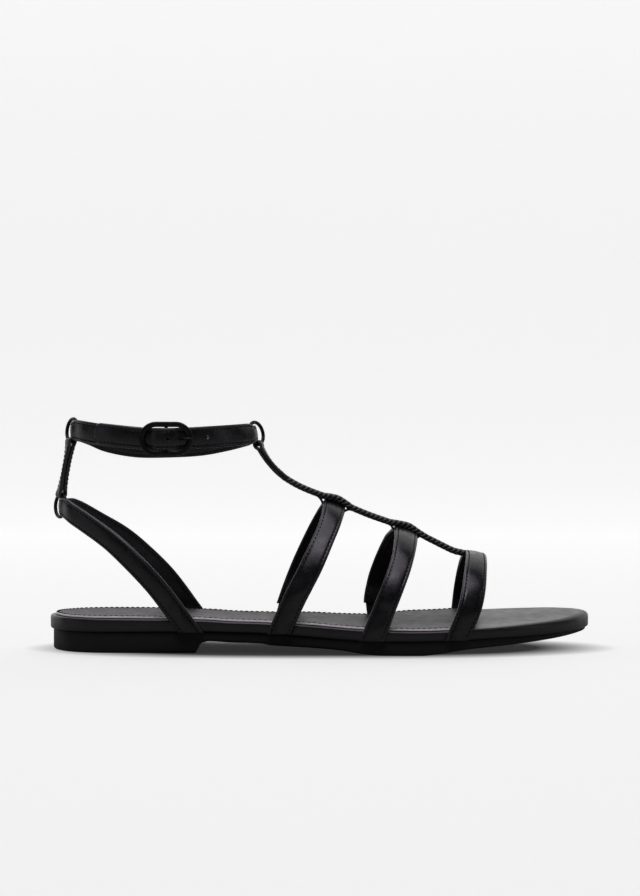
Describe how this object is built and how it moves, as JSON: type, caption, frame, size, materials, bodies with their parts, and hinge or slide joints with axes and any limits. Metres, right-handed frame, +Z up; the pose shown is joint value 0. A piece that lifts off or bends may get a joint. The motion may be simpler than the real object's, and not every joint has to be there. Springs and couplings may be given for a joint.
{
  "type": "gladiator sandal",
  "caption": "Flat gladiator sandal with a plaited instep strap, ringed ankle and heel straps, a buckle and a low moulded sole.",
  "frame": {"origin": "middle of the heel's flat bottom, on the floor plane", "axes": "+X to the toe, +Y to the medial side, +Z up; a right shoe"},
  "size_m": [0.2514, 0.0868, 0.1069],
  "materials": {
    "strap_leather": "smooth black leather, soft semi-gloss",
    "bed_leather": "smooth black lining leather, satin",
    "sole_rubber": "matte black moulded rubber",
    "elastic": "ribbed black elastic",
    "black_metal": "black plated metal, satin"
  },
  "bodies": {
    "root": {"outsole": "sole_rubber", "footbed": "bed_leather", "insole": "bed_leather", "upper": "strap_leather", "gore_rear": "elastic", "gore_middle": "elastic", "heel_strap": "strap_leather", "back_tab": "strap_leather", "ring_heel": "black_metal", "ring_ankle_back": "black_metal", "ring_ankle_front": "black_metal", "ankle_strap": "strap_leather", "buckle_frame": "black_metal", "buckle_pin": "black_metal"}
  },
  "joints": []
}
